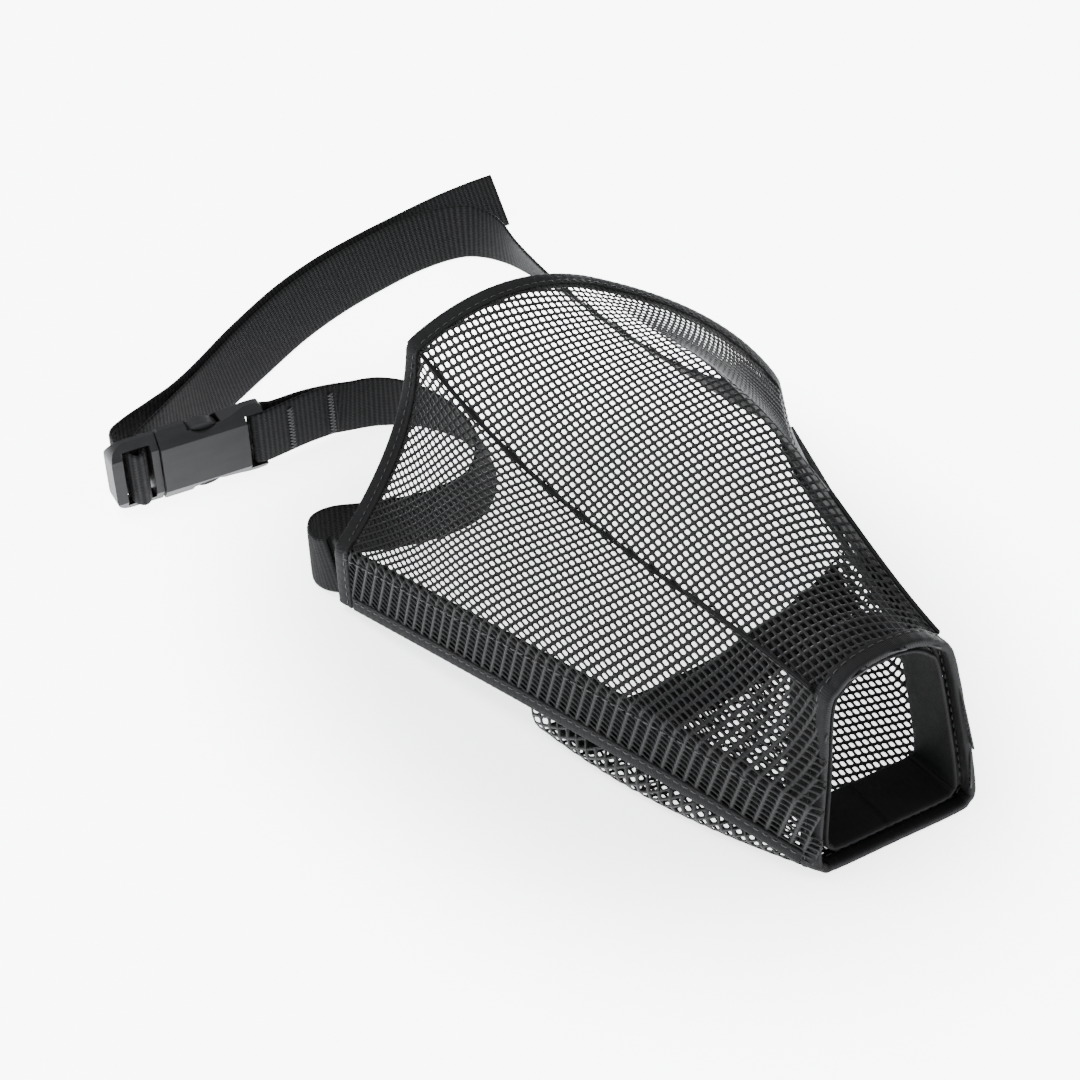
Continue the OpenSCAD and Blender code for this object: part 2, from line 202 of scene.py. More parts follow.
def chin_bulge(y, s):
    """How far the chin net's corner is pushed outwards."""
    return CHIN_BULGE * math.sin(math.pi * min(1, max(0, y) / BULGE_LEN)) if s < 0 else 0.0


def chin_at(t, w):
    """The chin net: t runs back from the nose, w from the left corner to the right one."""
    y = 4 + (chin_rear(w) - 4) * t
    s = LEFT if w < 0 else RIGHT
    e = edge(y / LOWER_LEN, s)
    flat_half, bulge = abs(e[0]) - CORNER_R, chin_bulge(y, s)
    if abs(w) < CHIN_FLAT:
        return vec(w / CHIN_FLAT * (flat_half + bulge), y, 0)
    a = math.pi / 2 * (1 - min(1, (1 - abs(w)) / (1 - CHIN_FLAT)))
    return vec(s * (flat_half + CORNER_R * math.sin(a) + bulge * math.cos(a)), y,
               e[2] * (1 - math.cos(a)))


# ---------------------------------------------------------------- materials
class Paint:
    """A small helper for one procedural material."""

    def __init__(self, name, colour, roughness, **sockets):
        self.material = bpy.data.materials.new(name)
        self.material.use_nodes = True
        self.tree = self.material.node_tree
        self.shader = self.tree.nodes["Principled BSDF"]
        self.shader.inputs["Base Color"].default_value = (*colour, 1)
        self.shader.inputs["Roughness"].default_value = roughness
        for key, value in sockets.items():
            self.shader.inputs[key.replace("_", " ")].default_value = value

    def node(self, kind, links=None, values=None, **settings):
        n = self.tree.nodes.new("ShaderNode" + kind)
        for key, value in settings.items():
            setattr(n, key, value)
        for key, value in (values or {}).items():
            n.inputs[key].default_value = value
        for key, source in (links or {}).items():
            self.tree.links.new(source, n.inputs[key])
        return n

    def math(self, operation, a, b=0.0):
        n = self.node("Math", operation=operation)
        for socket, value in zip(n.inputs, (a, b)):
            if isinstance(value, (int, float)):
                socket.default_value = value
            else:
                self.tree.links.new(value, socket)
        return n.outputs[0]

    def cloth(self):
        """Millimetres along and across the cloth, stored on the mesh."""
        n = self.node("Attribute", attribute_name="cloth")
        return n.outputs["Vector"]

    def scaled(self, vector, x, y, z=1.0):
        n = self.node("Mapping", {"Vector": vector}, {"Scale": (x, y, z)})
        return n.outputs["Vector"]

    def noise(self, vector, scale, detail=2.0):
        return self.node("TexNoise", {"Vector": vector},
                         {"Scale": scale, "Detail": detail}).outputs["Fac"]

    def colours(self, factor, dark, light, low=0.0, high=1.0):
        n = self.node("ValToRGB", {"Fac": factor})
        first, last = n.color_ramp.elements
        first.position, first.color = low, (*dark, 1)
        last.position, last.color = high, (*light, 1)
        self.tree.links.new(n.outputs["Color"], self.shader.inputs["Base Color"])

    def bump(self, height, distance, strength=1.0):
        n = self.node("Bump", {"Height": height}, {"Strength": strength, "Distance": distance})
        self.tree.links.new(n.outputs["Normal"], self.shader.inputs["Normal"])

    def rough(self, factor, low, high):
        n = self.node("MapRange", {"Value": factor}, {"To Min": low, "To Max": high})
        self.tree.links.new(n.outputs["Result"], self.shader.inputs["Roughness"])


def grey(level, blue=1.06):
    return (level, level * 1.01, level * blue)


def webbing_material():
    """Ribbed polyester webbing: crosswise ribs of floating yarns, packed fibres."""
    p = Paint("webbing", grey(0.008), 0.82, Specular_IOR_Level=0.1)
    place = p.cloth()
    split = p.node("SeparateXYZ", {"Vector": place})
    along, over = split.outputs["X"], split.outputs["Y"]
    rib = p.math("SINE", p.math("MULTIPLY", along, 2 * math.pi / RIB_PITCH))
    yarn = p.math("SINE", p.math("MULTIPLY", over, 2 * math.pi / 0.62))
    weave = p.math("ADD", p.math("MULTIPLY", rib, 0.35), p.math("MULTIPLY", yarn, 0.3))
    fibres = p.noise(p.scaled(place, 2.0, 5.5), 1.0, 4)
    height = p.math("ADD", weave, fibres)
    p.bump(height, 0.00022, 0.8)
    tone = p.math("ADD", p.math("MULTIPLY", rib, 0.25), p.math("MULTIPLY", height, 0.6))
    p.colours(tone, grey(0.0015), grey(0.012), 0.0, 0.9)
    p.rough(fibres, 0.6, 0.85)
    return p.material


def tape_material():
    """Folded polyester binding: fine crosswise ribs, a slight sheen."""
    p = Paint("binding_tape", grey(0.005), 0.75, Specular_IOR_Level=0.1)
    place = p.cloth()
    split = p.node("SeparateXYZ", {"Vector": place})
    rib = p.math("SINE", p.math("MULTIPLY", split.outputs["X"], 2 * math.pi / 0.55))
    fibres = p.noise(p.scaled(place, 4.0, 1.6), 1.0, 4)
    height = p.math("ADD", p.math("MULTIPLY", rib, 0.4), fibres)
    p.bump(height, 0.00012, 0.7)
    tone = p.math("ADD", p.math("MULTIPLY", p.noise(place, 0.15), 0.6),
                  p.math("MULTIPLY", height, 0.35))
    p.colours(tone, grey(0.002), grey(0.007), 0.15, 0.95)
    p.rough(fibres, 0.52, 0.74)
    return p.material


def net_material():
    """Stiff nylon net threads: twisted filaments with a satin gloss."""
    p = Paint("net", grey(0.005), 0.55, Specular_IOR_Level=0.16)
    place = p.cloth()
    fibres = p.noise(p.scaled(place, 3.0, 3.0), 1.0, 3)
    wide = p.noise(place, 0.06)
    p.bump(fibres, 0.00012, 0.6)
    tone = p.math("ADD", p.math("MULTIPLY", wide, 0.6), p.math("MULTIPLY", fibres, 0.4))
    p.colours(tone, grey(0.003), grey(0.008), 0.25, 0.8)
    p.rough(fibres, 0.36, 0.6)
    return p.material


def thread_material():
    p = Paint("thread", grey(0.02), 0.5, Specular_IOR_Level=0.45)
    place = p.node("TexCoord").outputs["Object"]
    twist = p.noise(p.scaled(place, 2500, 2500, 900), 1.0, 2)
    p.bump(twist, 0.00008, 0.6)
    p.colours(twist, grey(0.003), grey(0.009), 0.3, 0.75)
    p.rough(twist, 0.42, 0.6)
    return p.material


def plastic_material():
    """Moulded acetal: satin, with a fine spark texture and faint scuffs."""
    p = Paint("buckle_plastic", grey(0.01), 0.5, Specular_IOR_Level=0.14)
    place = p.node("TexCoord").outputs["Object"]
    spark = p.noise(place, 4200, 2)
    scuff = p.noise(p.scaled(place, 60, 60, 260), 1.0, 4)
    p.bump(spark, 0.00003, 0.5)
    p.colours(scuff, grey(0.007), grey(0.012), 0.3, 0.75)
    p.rough(p.math("ADD", p.math("MULTIPLY", scuff, 0.6), p.math("MULTIPLY", spark, 0.4)),
            0.42, 0.6)
    return p.material


MATERIALS = {"net": net_material(), "binding_tape": tape_material(),
             "webbing": webbing_material(), "thread": thread_material(),
             "buckle_plastic": plastic_material()}


# ---------------------------------------------------------------- pieces
def piece(name, points, faces, slot, replaced=(), body="muzzle", cloth=None):
    """A mesh piece from points in millimetres, on its body and with its finish."""
    mesh = bpy.data.meshes.new(name)
    mesh.from_pydata((np.asarray(points) * MM).tolist(), [], faces)
    mesh.validate()
    mesh.shade_smooth()
    if cloth is not None:
        field = mesh.attributes.new("cloth", "FLOAT_VECTOR", "POINT")
        field.data.foreach_set("vector", np.asarray(cloth, np.float32).ravel())
    obj = bpy.data.objects.new(name, mesh)
    bpy.context.scene.collection.objects.link(obj)
    obj.data.materials.append(MATERIALS[slot])
    if body:
        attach(obj, body)
    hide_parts(*replaced)
    return obj


def swept(path, wide, section, closed=False, rib=None, square=True):
    """Points, faces and cloth places of a band.

    Each section point is (along the width, through the thickness); rib(s, a) gives the
    share of the thickness at s along the band and a across it. A square band has its
    width at right angles to its path.
    """
    n, m = len(path), len(section)
    forward = tangents(path, closed)
    if square:
        length = np.linalg.norm(wide, axis=1, keepdims=True)
        wide = unit(wide - (wide * forward).sum(1, keepdims=True) * forward) * length
    through = unit(np.cross(forward, wide))
    s = np.concatenate([[0], np.cumsum(np.linalg.norm(np.diff(path, axis=0), axis=1))])
    a, b = section[:, 0], section[:, 1]
    share = np.ones((n, m)) if rib is None else rib(s[:, None], a[None, :])
    points = (path[:, None] + a[None, :, None] * wide[:, None]
              + (share * b[None, :])[..., None] * through[:, None])
    faces = []
    for i in range(n if closed else n - 1):
        r, q = i * m, (i + 1) % n * m
        faces += [(r + k, q + k, q + (k + 1) % m, r + (k + 1) % m) for k in range(m)]
    if not closed:
        faces += [tuple(range(m)), tuple(range((n - 1) * m, n * m))[::-1]]
    cloth = np.stack(np.broadcast_arrays(s[:, None], a[None, :], b[None, :] * 0.5), -1)
    return points.reshape(-1, 3), faces, cloth.reshape(-1, 3)


def joined(parts):
    """Several lots of (points, faces, cloth) as one."""
    points, faces, cloth, n = [], [], [], 0
    for p, f, c in parts:
        points.append(p)
        cloth.append(c)
        faces += [tuple(i + n for i in face) for face in f]
        n += len(p)
    return np.vstack(points), faces, np.vstack(cloth)


# ---------------------------------------------------------------- net
def threads(inside, place, columns, rows, name, slot, replaced):
    """A knitted net with real holes: threads with a lens-shaped section meet at raised knots.

    inside(c, y) says which cells exist, place(c, y, h) puts a point of the cloth in space,
    h above its middle.
    """
    i, j = np.meshgrid(np.arange(*columns), np.arange(*rows), indexing="ij")

    def cloth_at(a, b):
        c = (PITCH_LONG * a + SKEW_LONG * PITCH_CROSS * b) / (1 + SKEW_LONG * SKEW_CROSS)
        return c, PITCH_CROSS * b - SKEW_CROSS * c

    keep = inside(*cloth_at(i + 0.5, j + 0.5))
    cells = np.stack([i[keep], j[keep]], 1)
    corners = np.array([(0, 0), (1, 0), (1, 1), (0, 1)])
    grid = (cells[:, None] + corners).reshape(-1, 2)
    knots, index = np.unique(grid, axis=0, return_inverse=True)
    index = index.reshape(-1, 4)
    hx, hy = HOLE_LONG / PITCH_LONG / 2, HOLE_CROSS / PITCH_CROSS / 2
    cx, cy = 0.52 * hx, 0.66 * hy
    hole = np.array([(-cx, -hy), (cx, -hy), (hx, -cy), (hx, cy),
                     (cx, hy), (-cx, hy), (-hx, cy), (-hx, -cy)]) + 0.5
    rim = (cells[:, None] + hole).reshape(-1, 2)
    lattice = np.vstack([knots, knots, rim])
    n, k = len(knots), len(cells)
    height = np.concatenate([np.full(n, THREAD_RISE), np.full(n, -THREAD_RISE),
                             np.zeros(8 * k)])
    c, y = cloth_at(lattice[:, 0], lattice[:, 1])
    points = place(c, y, height)
    faces = []
    for cell in range(k):
        o, h = index[cell].tolist(), 2 * n + 8 * cell
        for q in range(4):
            a, b = o[q], o[(q + 1) % 4]
            low, high, before = h + 2 * q, h + 2 * q + 1, h + (2 * q - 1) % 8
            faces += [(a, b, high, low), (a, low, before),
                      (n + b, n + a, low, high), (n + a, before, low)]
    faces += net_rim(index, n)
    return piece(name, points, faces, slot, replaced, cloth=np.stack([y, c, height], 1))


def net_rim(index, n):
    """Faces that close the outer border of a net between its two layers of knots."""
    sides = {}
    for o in index.tolist():
        for q in range(4):
            a, b = o[q], o[(q + 1) % 4]
            sides[(a, b)] = True
    return [(b, a, n + a, n + b) for a, b in sides if (b, a) not in sides]


class Blank:
    """The upper net's flat blank, as a grid of sections that (c, y) is looked up in."""

    def __init__(self):
        stations = np.linspace(0, 1, 61)
        sections = [across(v) for v in stations]
        self.c = np.arange(-135, 136, 1.0)
        self.grid = np.zeros((len(stations), len(self.c), 3))
        self.left, self.right = np.zeros(len(stations)), np.zeros(len(stations))
        for i, section in enumerate(sections):
            s = np.concatenate([[0], np.cumsum(np.linalg.norm(np.diff(section, axis=0), axis=1))])
            s -= s[SIDE_STEPS + TOP_STEPS // 2]
            self.left[i], self.right[i] = s[0], s[-1]
            self.grid[i] = np.stack([np.interp(self.c, s, section[:, k]) for k in range(3)], 1)
        down, over = np.gradient(self.grid, axis=0), np.gradient(self.grid, axis=1)
        inner = np.linalg.norm(over, axis=2) > 1e-6
        for i in range(len(stations)):
            ok = np.where(inner[i])[0]
            over[i, :ok[0]], over[i, ok[-1] + 1:] = over[i, ok[0]], over[i, ok[-1]]
        self.normal = unit(np.cross(over, down))
        self.area = np.trapz(self.right - self.left, dx=(LOWER_LEN + RIDGE_LEN) / 120)
        self.width = (self.right - self.left).max()

    def row(self, c, y):
        """The row and share of the way to the next one where column c reaches y."""
        k = np.clip(c - self.c[0], 0, len(self.c) - 1.001)
        k0 = k.astype(int)
        f = k - k0
        ys = self.grid[:, k0, 1] * (1 - f) + self.grid[:, k0 + 1, 1] * f
        i = np.clip((ys < y).sum(0), 1, len(self.grid) - 1)
        low, high = ys[i - 1, np.arange(len(c))], ys[i, np.arange(len(c))]
        t = (y - low) / (high - low)
        return i - 1, t, k0, f

    def inside(self, c, y):
        i, t, _, _ = self.row(c.ravel(), y.ravel())
        left = mix(self.left[i], self.left[i + 1], t)
        right = mix(self.right[i], self.right[i + 1], t)
        c = c.ravel()
        v = (i + t) / (len(self.grid) - 1)
        ok = (v > 0.006) & (v < 0.994) & (c > left + 1.5) & (c < right - 1.5)
        return ok.reshape(y.shape)

    def place(self, c, y, h):
        i, t, k, f = self.row(c, y)
        t = np.clip(t, 0, 1)

        def look(table):
            near = table[i, k] * (1 - f)[:, None] + table[i, k + 1] * f[:, None]
            far = table[i + 1, k] * (1 - f)[:, None] + table[i + 1, k + 1] * f[:, None]
            return near * (1 - t)[:, None] + far * t[:, None]

        return look(self.grid) + unit(look(self.normal)) * (NET_T / 2 + h)[:, None]


def chin_table(s):
    """For each millimetre of y: the half width of the flat part, the bulge and the rise."""
    rows = []
    for y in range(LOWER_LEN + 1):
        e, bulge = edge(y / LOWER_LEN, s), chin_bulge(y, s)
        rows.append((abs(e[0]) - CORNER_R + bulge, bulge, e[2]))
    return np.array(rows)


CHIN_TABLES = {s: chin_table(s) for s in (LEFT, RIGHT)}


def chin_look(c, y):
    """The flat half width, bulge and rise on the side that c lies on."""
    at = np.clip(y, 0, LOWER_LEN)
    both = [np.stack([np.interp(at, np.arange(LOWER_LEN + 1), column)
                      for column in CHIN_TABLES[s].T], -1) for s in (LEFT, RIGHT)]
    return np.where((c < 0)[..., None], *both)


def chin_inside(c, y):
    half = chin_look(c, y)[..., 0]
    arc = CORNER_R * math.pi / 2
    bend = np.clip((np.abs(c) - half) / arc, 0, 1)
    rolled = np.sign(c) * (CHIN_FLAT + (1 - CHIN_FLAT) * bend)
    w = np.where(np.abs(c) < half, CHIN_FLAT * c / half, rolled)
    return (y > 5) & (y < chin_rear(w) - 1) & (np.abs(c) < half + arc - 1)


def chin_place(c, y, h):
    half, bulge, rise = np.moveaxis(chin_look(c, y), -1, 0)
    a = np.clip((np.abs(c) - half) / CORNER_R, 0, math.pi / 2)
    flat = np.minimum(np.abs(c), half)
    lift = NET_T / 2 - h
    x = np.sign(c) * (flat + np.sin(a) * (CORNER_R - lift) - bulge * (1 - np.cos(a)))
    return np.stack([x, y, rise * (1 - np.cos(a)) + lift * np.cos(a)], 1)


def make_nets():
    blank = Blank()
    upper = threads(blank.inside, blank.place, (-75, 76), (-12, 80), "upper_net", "net",
                    ("top_net", "left_side_net", "right_side_net"))
    chin = threads(chin_inside, chin_place, (-50, 50), (-10, 45), "chin_net_cloth", "net",
                   ("chin_net",))


# ---------------------------------------------------------------- bindings and tapes
def fold_section(width, thick):
    """Tape folded round an edge: a full fold outside, pinched at the stitch line inside."""
    h = thick / 2
    top = [(0.0, 0.55 * h), (0.35, 0.88 * h), (1.0, h), (0.45 * width, 0.98 * h),
           (0.66 * width, 0.84 * h), (0.74 * width, 0.74 * h), (0.82 * width, 0.84 * h),
           (0.97 * width, 0.8 * h), (width, 0.62 * h)]
    return np.array(top + [(a, -b) for a, b in reversed(top)])


def pucker(s, a):
    """Small swellings between the stitches."""
    return 1 + 0.05 * np.cos(2 * math.pi * s / STITCH_PITCH) * np.ones_like(a)


def smoothed(p, passes):
    """Rows averaged with their neighbours, with the first and last left alone."""
    for _ in range(passes):
        q = p.copy()
        q[1:-1] = (p[:-2] + 2 * p[1:-1] + p[2:]) / 4
        p = q
    return p


def rim_line():
    """The rear rim from the left lower corner over the top to the right one, and the way in."""
    outer, inner = across(1.0), across(0.95)
    wide = unit(inner - outer)
    _, both = resample(np.hstack([outer, wide]), outer, 1.0)
    both = smoothed(both, 5)
    return both[:, :3], unit(both[:, 3:])


def nose_line(d):
    """The nose opening's outline moved inwards by d, in its leaning plane."""
    lip = BINDING_T / 2
    half = [(0, lip), (NOSE_W / 2 - 6, lip), (NOSE_W / 2 - 1.5, lip + 1.5), (NOSE_W / 2, lip + 6),
            ((NOSE_W + NOSE_TOP_W) / 4, NOSE_H / 2), (NOSE_TOP_W / 2, NOSE_H - 2),
            (NOSE_TOP_W / 2 - 4, NOSE_H + CROWN * 0.45), (NOSE_TOP_W / 4, NOSE_H + CROWN * 0.85),
            (0, NOSE_H + CROWN)]
    right = [(x + NOSE_SKEW * (x > NOSE_W / 4 and z < NOSE_H / 2 + 1), z) for x, z in half]
    ring = np.array(right + [(-x, z) for x, z in half[-2:0:-1]])
    ring = spline(ring, 12, closed=True)
    x = ring[:, 0] * (1 - 2 * d / NOSE_W)
    z = lip + d + (ring[:, 1] - lip) * (1 - 2 * d / (NOSE_H + CROWN))
    return np.stack([x, z * RIDGE_Y0 / NOSE_H, z], 1)


def nose_wide(ring):
    """The way the nose binding runs back: along +Y, turned out where the left side flares."""
    x, z = ring[:, 0], ring[:, 2]
    low = [smoothstep((44 - b) / 24) * smoothstep((-a - 17) / 6) for a, b in zip(x, z)]
    return np.stack([-0.6 * np.array(low), np.ones(len(ring)), np.zeros(len(ring))], 1)


def lower_line(s):
    p = np.array([edge(v, s) - vec(0, 0, 1) for v in np.linspace(0.03, 0.96, 150)])
    return p, np.tile(vec(0, 0, 1), (len(p), 1))


def make_bindings():
    path, wide = rim_line()
    section = fold_section(BINDING_W, BINDING_T)
    points, faces, cloth = swept(path, wide, section, rib=pucker)
    piece("rear_binding_tape", points, faces, "binding_tape", ("rear_binding",), cloth=cloth)
    ring = nose_line(0)
    points, faces, cloth = swept(ring, unit(nose_wide(ring)), section, closed=True, rib=pucker)
    piece("nose_binding_tape", points, faces, "binding_tape", ("nose_binding",), cloth=cloth)
    for s, side in ((LEFT, "left"), (RIGHT, "right")):
        path, wide = lower_line(s)
        section = fold_section(BINDING_W - 1, BINDING_T)
        points, faces, cloth = swept(path, wide, section, rib=pucker)
        piece(side + "_lower_binding_tape", points, faces, "binding_tape",
              (side + "_lower_binding",), cloth=cloth)


def make_facing():
    ring = nose_line(BINDING_T / 2 + WEB_T + BAND_GAP) + vec(0, 2, 0)
    wide = np.tile(vec(0, 1, 0), (len(ring), 1))
    points, faces, cloth = swept(ring, wide, flat_section(FACING_W, WEB_T), closed=True)
    piece("nose_facing_tape", points, faces, "binding_tape", ("nose_facing",), cloth=cloth)


# ---------------------------------------------------------------- webbing
def flat_section(width, thick):
    """A woven band's outline: rounded selvedges and flat faces."""
    h = thick / 2
    top = [(0.3, 0.62 * h), (1.1, 0.96 * h), (0.3 * width, h), (0.7 * width, h),
           (width - 1.1, 0.96 * h), (width - 0.3, 0.62 * h)]
    return np.array([(0, 0)] + top + [(width, 0)] + [(a, -b) for a, b in reversed(top)])


def ribs(s, a):
    """Crosswise ribs in the thickness, fading into the selvedges."""
    wave = 0.5 + 0.5 * np.sin(2 * math.pi * s / RIB_PITCH)
    inner = ((a > 1) & (a < WEB_W - 1)) * 0.3 + 0.05
    return 1 - inner * wave


def webbing_band(route):
    """Webbing on its edge; each point is x, y and z of the lower edge, and its lean."""
    dense = spline(route, 24)
    _, even = resample(dense, dense[:, :3] + vec(0, 0, WEB_W / 2), RIB_PITCH / 4)
    flat = even[:, :3] * vec(1, 1, 0)
    d = tangents(flat)
    lean = np.radians(even[:, 3])
    wide = np.stack([-d[:, 1] * np.sin(lean), d[:, 0] * np.sin(lean), np.cos(lean)], 1)
    return swept(even[:, :3], wide, flat_section(WEB_W, WEB_T), rib=ribs)


INSET = BINDING_T / 2 + WEB_T / 2 + CLEAR


def sewn_route(s):
    """The part of a strap that is sewn inside a side net, along its lower edge."""
    out = []
    for v in np.arange(0.07, 1.03, 0.05):
        e = edge(min(v, 1), s)
        out.append((e[0] - s * INSET, e[1], e[2] + 0.4, foot_lean(min(v, 1), s)))
    return out


def placed(u, w):
    """A point of a webbing route, u along the buckle and w through it."""
    c, s = math.cos(BUCKLE_TURN), math.sin(BUCKLE_TURN)
    return (BUCKLE_POS[0] + u * c + w * s, BUCKLE_POS[1] + u * s - w * c,
            BUCKLE_POS[2] - WEB_W / 2, 0)


LEFT_ROUTE = [(-81, 179, 2.8, 0), (-84, 186, 0.8, 0), (-84.5, 193, 0, 0), (-80.5, 199.5, 0, 0),
              (-73, 200.5, 0, 0), (-62, 196, 0, 0), (-47, 191.5, 0, 0), (-33, 190.5, 0, 4),
              (-22, 194, 0, 10), (-12, 205, 0, 18), (-7, 218, 0, 20), (-9, 233, 0, 16),
              (-17, 247.5, 0, 8), (-28, 255.5, 0, 0), (-40, 258.3, 0.7, 0),
              (-54, 258.7, 2.9, 0)]
RIGHT_ROUTE = [(80.5, 179.5, 2.8, 12), (80, 192, 1, 30), (78, 206, 0, 38), (76, 219, 0, 42),
               (72, 243, 0, 44), (69, 266, 0, 42), (66, 288, 0, 36), (62, 306, 0, 24),
               (58, 320, 0, 8), (51, 330, 0, -8), (43, 333.5, 0, -18), (29, 333.5, 0, -24),
               (12, 330, 0, -26), (-7, 324.5, 0, -26), (-27, 316, 0, -26),
               (-49, 303.5, 0, -24), (-72, 289.5, 0.6, -16), (-86, 281.5, 2, -8),
               (-98, 274.5, 3.2, -2), (-106.5, 269.5, 3.5, 0), (-111, 266.2, 3.5, 0)]
TAIL_ROUTE = [(-118.5, 267, 3.5, 0), (-117, 272.5, 3.5, 0), (-110.5, 276.5, 3.5, 0),
              (-99, 280.8, 3.2, 2), (-86, 286, 2, 8), (-71, 294.3, 0.6, 16), (-50, 306.8, 0, 25),
              (-28, 319.5, 0, 27), (-8, 328.2, 0, 27), (12, 334, 0, 27), (30, 338, 0, 27),
              (46, 341, 0, 29), (60, 342.5, 0, 33), (72, 343, 0, 38)]

# --- Buckle: places along u, across v and through w ---
FACE_V, RIM_W = 8.4, 0.9
BAR_U, BAR_W, SLOT_V = 2.6, 1.6, WEB_W / 2 + 0.4
CAVITY_U, CAVITY_V, CAVITY_W = 8, 10.2, 2.7
WINDOW_U = (14.5, 26)
FRAME_U = SOCKET_LEN + 0.4
LADDER = (2.6, 6, 8.6, 12.4)
PRONG_TIP = 14.8
ANCHOR_W = BAR_W + CLEAR + WEB_T / 2
ANCHOR_ROUTE = [placed(-5, 1.6), placed(-1.5, ANCHOR_W), placed(1.3, ANCHOR_W + 0.2),
                placed(3.4, ANCHOR_W - 0.4), placed(BAR_U + CLEAR + WEB_T / 2 + 0.2, 0),
                placed(3.4, -ANCHOR_W + 0.4), placed(1.3, -ANCHOR_W - 0.2),
                placed(-1.5, -ANCHOR_W), placed(-6, -1.9), placed(-16, -0.2), placed(-27, 0.5)]
MID_U = FRAME_U + (LADDER[1] + LADDER[2]) / 2
WRAP_ROUTE = [placed(MID_U - 3, 4), placed(MID_U - 3, 0), placed(MID_U - 2.2, -4),
              placed(MID_U, -6), placed(MID_U + 2.2, -4), placed(MID_U + 3, 0),
              placed(MID_U + 3, 4)]


def make_straps():
    points, faces, cloth = webbing_band(sewn_route(LEFT) + LEFT_ROUTE + ANCHOR_ROUTE)
    piece("left_strap", points, faces, "webbing", ("left_strap_sewn", "left_strap_free"),
          cloth=cloth)
    points, faces, cloth = webbing_band(sewn_route(RIGHT) + RIGHT_ROUTE + WRAP_ROUTE + TAIL_ROUTE)
    strap = piece("right_strap", points, faces, "webbing",
                  ("right_strap_sewn", "right_strap_free", "right_strap_tail"), body=None,
                  cloth=cloth)
    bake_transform(strap)


def make_chin_webbing():
    """The band that stiffens the chin net's rear edge, inside it."""
    start = 1 - WEB_W / CHIN_LEN
    lift = vec(0, 0, NET_T + BAND_GAP + WEB_T / 2)
    w = np.linspace(-CHIN_FLAT, CHIN_FLAT, 240)
    rear = np.array([chin_at(0.985, x) for x in w])
    front = np.array([chin_at(start, x) for x in w])
    _, both = resample(np.hstack([rear, front]), rear, RIB_PITCH / 4)
    path, wide = both[:, :3] + lift, (both[:, 3:] - both[:, :3]) / WEB_W
    points, faces, cloth = swept(path, wide, flat_section(WEB_W, WEB_T), rib=ribs, square=False)
    piece("chin_webbing_band", points, faces, "webbing", ("chin_webbing",), cloth=cloth)


# ---------------------------------------------------------------- stitching
def stitch(a, b, out, radius=0.2):
    """One stitch from a to b, arched out of the cloth, as a thin six-sided thread."""
    along = unit(b - a)
    side = unit(np.cross(along, out))
    points, faces = [], []
    for t, r, h in ((0, 0.35, -0.1), (0.18, 1, 0.12), (0.5, 1.05, 0.2), (0.82, 1, 0.12),
                    (1, 0.35, -0.1)):
        centre = mix(a, b, t) + out * h
        for k in range(6):
            q = math.pi * k / 3
            points.append(centre + radius * r * (math.cos(q) * side + math.sin(q) * out))
    for i in range(4):
        for k in range(6):
            r, q = 6 * i + k, 6 * i + (k + 1) % 6
            faces.append((r, q, q + 6, r + 6))
    faces += [tuple(range(6))[::-1], tuple(range(24, 30))]
    return np.array(points), faces, np.zeros((30, 3))


def stitch_row(path, out, pitch=STITCH_PITCH, gap=0.7, radius=0.2):
    """Stitches along a line, each lying on the side that `out` points to."""
    _, both = resample(np.hstack([path, out]), path, pitch)
    rows = []
    for i in range(len(both) - 1):
        a, b = both[i, :3], both[i + 1, :3]
        if np.linalg.norm(b - a) < 0.5:
            continue
        rows.append(stitch(mix(a, b, gap / pitch / 2), mix(a, b, 1 - gap / pitch / 2),
                           unit(both[i, 3:]), radius))
    return rows


def both_faces(path, wide, at, half, closed=False):
    """Stitch rows on the two faces of a band, `at` across its width."""
    forward = tangents(path, closed)
    through = unit(np.cross(forward, unit(wide)))
    line = path + unit(wide) * at
    if closed:
        line, through = np.vstack([line, line[:1]]), np.vstack([through, through[:1]])
    return stitch_row(line + through * half, through) + stitch_row(line - through * half, -through)


def sewn_band_line(s, height):
    """A line on the side net's outer face, `height` above the sewn webbing's lower edge."""
    line, out = [], []
    for v in np.linspace(0.08, 0.98, 120):
        e = edge(v, s)
        line.append(mix(e, foot(v, s), height / FOOT_H) + vec(s * (NET_T + 0.05), 0, 0))
        out.append(vec(s, 0, 0))
    return np.array(line), np.array(out)


def make_stitching():
    path, wide = rim_line()
    half = BINDING_T / 2 * STITCH_AT
    rows = both_faces(path, wide, BINDING_W * STITCH_AT, half)
    ring = nose_line(0)
    rows += both_faces(ring, nose_wide(ring), BINDING_W * STITCH_AT, half, closed=True)
    for s in (LEFT, RIGHT):
        path, wide = lower_line(s)
        rows += both_faces(path, wide, (BINDING_W - 1) * STITCH_AT, half)
        line, out = sewn_band_line(s, WEB_W - 1.6)
        rows += stitch_row(line, out)
    points, faces, _ = joined(rows)
    piece("seam_stitching", points, faces, "thread")


def make_darts():
    """The net pinched into a short sewn fold along each ridge, behind the nose."""
    parts, rows = [], []
    for s in (LEFT, RIGHT):
        path = np.array([ridge(v, s) + vec(0, 0, 0.9) for v in np.linspace(0.035, 0.3, 90)])
        wide = np.tile(vec(0, 0, 1.0), (len(path), 1))
        parts.append(swept(path, wide, fold_section(1.5, 1.3), rib=pucker))
        side = np.tile(vec(s, 0, 0.4), (len(path), 1))
        for turn in (1, -1):
            rows += stitch_row(path + vec(turn * s * 0.62, 0, 0.7), side * vec(turn, 1, 1),
                               radius=0.16)
    points, faces, cloth = joined(parts)
    piece("ridge_dart_folds", points, faces, "binding_tape", ("ridge_darts",), cloth=cloth)
    points, faces, _ = joined(rows)
    piece("dart_stitching", points, faces, "thread")


